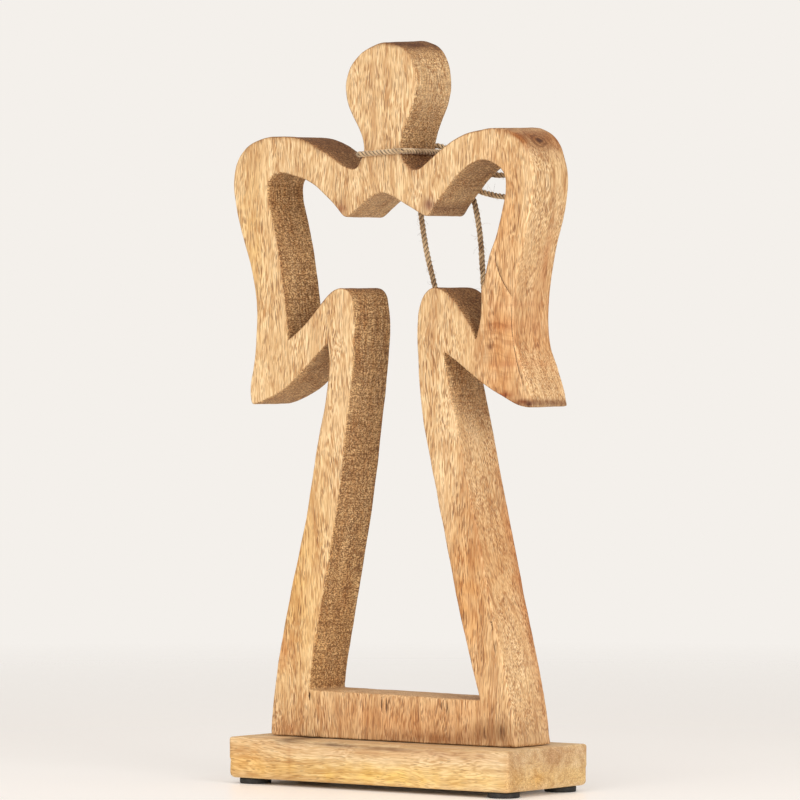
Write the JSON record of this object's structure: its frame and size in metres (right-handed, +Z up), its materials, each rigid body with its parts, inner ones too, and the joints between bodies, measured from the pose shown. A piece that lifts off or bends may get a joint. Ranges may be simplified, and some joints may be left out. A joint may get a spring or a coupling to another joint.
{
  "type": "wooden angel statue",
  "caption": "Open-framed angel sawn from one wooden board, standing on a wooden plinth with rubber pads, with jute twine tied in a bow behind its neck.",
  "frame": {"origin": "the middle of the box round the statue without its free twine, at its base: the middle of the wings' span, the middle of the board's thickness, and the plane of the pads' undersides", "axes": "+Z up, the angel's front faces -Y, +X to a viewer's right"},
  "size_m": [0.2117, 0.076, 0.42],
  "materials": {
    "board_wood": "sanded mango wood with saw marks on its sides, lightly waxed",
    "plinth_wood": "sanded mango wood, lightly waxed",
    "pad_rubber": "matt black rubber",
    "jute": "twisted natural jute with loose fibres"
  },
  "bodies": {
    "root": {"angel_board": "board_wood", "plinth": "plinth_wood", "pad_front_left": "pad_rubber", "pad_front_right": "pad_rubber", "pad_back_left": "pad_rubber", "pad_back_right": "pad_rubber", "twine_collar": "jute", "twine_loop_right": "jute", "twine_loop_left": "jute", "twine_end_middle": "jute", "twine_end_right": "jute"}
  },
  "joints": []
}
